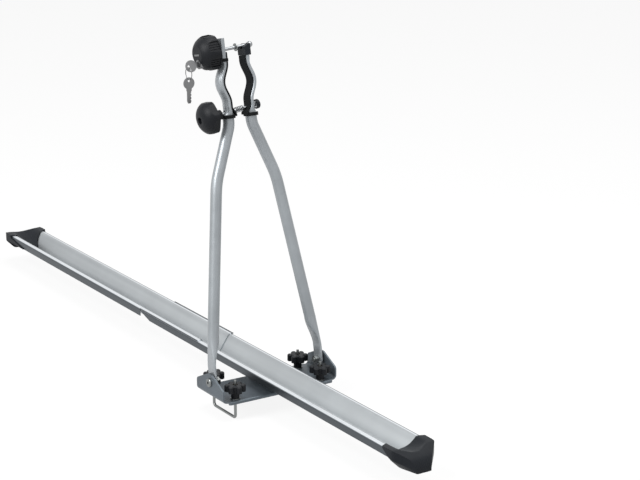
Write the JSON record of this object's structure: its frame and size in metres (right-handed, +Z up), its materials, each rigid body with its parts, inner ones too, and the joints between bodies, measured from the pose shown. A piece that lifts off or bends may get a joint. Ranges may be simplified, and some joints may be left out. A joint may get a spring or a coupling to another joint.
{
  "type": "roof mounted bike carrier",
  "caption": "Roof carrier for an upright bike: long wheel channel on a bar bracket, with hinged tube arms and a padded, locking clamp for the down tube.",
  "frame": {"origin": "centre of the seat on the roof bar, on the underside of the rubber bar pad", "axes": "+X along the wheel channel towards its short end, +Z up, Y along the roof bar with the lock at -Y"},
  "size_m": [1.516, 0.2372, 0.6384],
  "materials": {
    "anodised": "satin",
    "bracket_paint": "fine textured",
    "arm_paint": "metallic",
    "black_plastic": "matt",
    "knob_plastic": "satin",
    "pad_rubber": "matt",
    "zinc": "bright zinc",
    "bright_steel": "polished",
    "dark_steel": "blackened",
    "brass": "turned",
    "key_steel": "nickel plated"
  },
  "bodies": {
    "base": {"rail_front": "anodised", "rail_rear": "anodised", "end_cap_front": "black_plastic", "end_cap_rear": "black_plastic", "joint_bolts": "zinc", "joint_nuts": "zinc", "rail_rivets": "zinc", "mount_bracket": "bracket_paint", "bar_pad": "pad_rubber", "pivot_bolt_near": "zinc", "pivot_bolt_far": "zinc", "pivot_nut_near": "zinc", "pivot_nut_far": "zinc", "star_washers": "zinc"},
    "near_side": {"near_arm": "arm_paint", "jaw_pad_near": "pad_rubber", "pad_rivets_near": "dark_steel", "clamp_spring": "bright_steel"},
    "far_side": {"far_arm": "arm_paint", "jaw_pad_far": "pad_rubber", "pad_rivets_far": "dark_steel", "fork_cap": "black_plastic", "fork_screw": "dark_steel"},
    "lower_screw": {"clamp_screw": "bright_steel", "screw_cap": "black_plastic"},
    "lower_knob": {"lower_knob": "knob_plastic", "lower_knob_insert": "brass"},
    "ball_bolt": {"upper_bolt": "bright_steel", "stop_ring": "zinc"},
    "lock_knob": {"lock_knob": "knob_plastic", "lock_knob_insert": "brass", "knob_face_plate": "key_steel", "lock_bezel": "key_steel"},
    "lock": {"lock_barrel": "key_steel"},
    "key": {"key_in_lock": "key_steel"},
    "ring": {"key_ring": "key_steel"},
    "spare_key": {"spare_key": "key_steel"},
    "u_bolt_near": {"u_bolt_near": "zinc"},
    "u_bolt_far": {"u_bolt_far": "zinc"},
    "star_near_rear": {"star_knob_near_rear": "knob_plastic", "star_insert_near_rear": "brass"},
    "star_near_front": {"star_knob_near_front": "knob_plastic", "star_insert_near_front": "brass"},
    "star_far_rear": {"star_knob_far_rear": "knob_plastic", "star_insert_far_rear": "brass"},
    "star_far_front": {"star_knob_far_front": "knob_plastic", "star_insert_far_front": "brass"}
  },
  "joints": [
    {"name": "arms_fold", "type": "hinge", "parent": "base", "child": "near_side", "pos_m": [0, 0, 0.03], "axis": [0, 1, 0], "range_deg": [-56, 78]},
    {"name": "jaw_open", "type": "hinge", "parent": "near_side", "child": "far_side", "pos_m": [0, 0.1072, 0.03], "axis": [-0.982, 0, -0.1891], "range_deg": [-1, 3.4], "deforming": ["clamp_spring"]},
    {"name": "lower_screw_slide", "type": "slide", "parent": "near_side", "child": "lower_screw", "axis": [-0.0263, 0.9903, 0.1367], "range_m": [-0.0084, 0.028]},
    {"name": "ball_bolt_slide", "type": "slide", "parent": "near_side", "child": "ball_bolt", "axis": [-0.0158, 0.9965, 0.0822], "range_m": [-0.0102, 0.034]},
    {"name": "lower_knob_turn", "type": "hinge", "parent": "near_side", "child": "lower_knob", "pos_m": [-0.08501, -0.04951, 0.47143], "axis": [-0.0263, 0.9903, 0.1367], "continuous": true},
    {"name": "lock_knob_turn", "type": "hinge", "parent": "near_side", "child": "lock_knob", "pos_m": [-0.1054, -0.04983, 0.57736], "axis": [-0.0158, 0.9965, 0.0822], "continuous": true},
    {"name": "lock_turn", "type": "hinge", "parent": "lock_knob", "child": "lock", "pos_m": [-0.10221, -0.06346, 0.56076], "axis": [-0.0158, 0.9965, 0.0822], "range_deg": [0, 90]},
    {"name": "key_pull", "type": "slide", "parent": "lock", "child": "key", "axis": [0.0158, -0.9965, -0.0822], "range_m": [0, 0.04]},
    {"name": "key_ring_swing", "type": "hinge", "parent": "key", "child": "ring", "pos_m": [-0.10182, -0.08787, 0.55745], "axis": [1, 0, 0], "range_deg": [-25, 25]},
    {"name": "spare_key_swing", "type": "hinge", "parent": "ring", "child": "spare_key", "pos_m": [-0.10182, -0.08787, 0.53625], "axis": [1, 0, 0], "range_deg": [-40, 40]},
    {"name": "u_bolt_near_slide", "type": "slide", "parent": "base", "child": "u_bolt_near", "axis": [0, 0, 1], "range_m": [-0.005, 0.008]},
    {"name": "u_bolt_far_slide", "type": "slide", "parent": "base", "child": "u_bolt_far", "axis": [0, 0, 1], "range_m": [-0.005, 0.008]},
    {"name": "star_near_rear_turn", "type": "hinge", "parent": "base", "child": "star_near_rear", "pos_m": [-0.0365, -0.086, 0.02], "axis": [0, 0, 1], "continuous": true},
    {"name": "star_near_front_turn", "type": "hinge", "parent": "base", "child": "star_near_front", "pos_m": [0.0365, -0.086, 0.02], "axis": [0, 0, 1], "continuous": true},
    {"name": "star_far_rear_turn", "type": "hinge", "parent": "base", "child": "star_far_rear", "pos_m": [-0.0365, 0.086, 0.02], "axis": [0, 0, 1], "continuous": true},
    {"name": "star_far_front_turn", "type": "hinge", "parent": "base", "child": "star_far_front", "pos_m": [0.0365, 0.086, 0.02], "axis": [0, 0, 1], "continuous": true}
  ],
  "couplings": [
    {"joint": "lower_screw_slide", "follows": "jaw_open", "m_per_rad": 0.467},
    {"joint": "ball_bolt_slide", "follows": "jaw_open", "m_per_rad": 0.5686}
  ]
}
